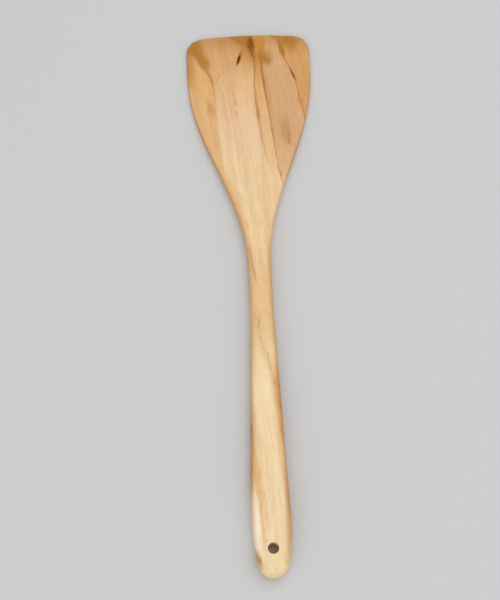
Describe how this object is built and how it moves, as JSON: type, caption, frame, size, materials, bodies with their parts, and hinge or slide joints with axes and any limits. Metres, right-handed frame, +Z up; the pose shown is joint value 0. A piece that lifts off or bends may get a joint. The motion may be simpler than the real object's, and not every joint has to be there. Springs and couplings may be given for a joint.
{
  "type": "wooden spatula",
  "caption": "Wooden spatula carved from one board: long round-edged handle with a hanging hole, slim neck, and a thin flat blade that spreads to a bowed front edge.",
  "frame": {"origin": "on the flat underside, in the middle of the length and of the width", "axes": "+Y from the handle's end to the blade's front edge, +Z up out of the flat underside, +X to the right with the blade pointing away"},
  "size_m": [0.0748, 0.33, 0.011],
  "materials": {
    "wood": "hand-sanded and lightly oiled, satin"
  },
  "bodies": {
    "root": {"spatula": "wood"}
  },
  "joints": []
}
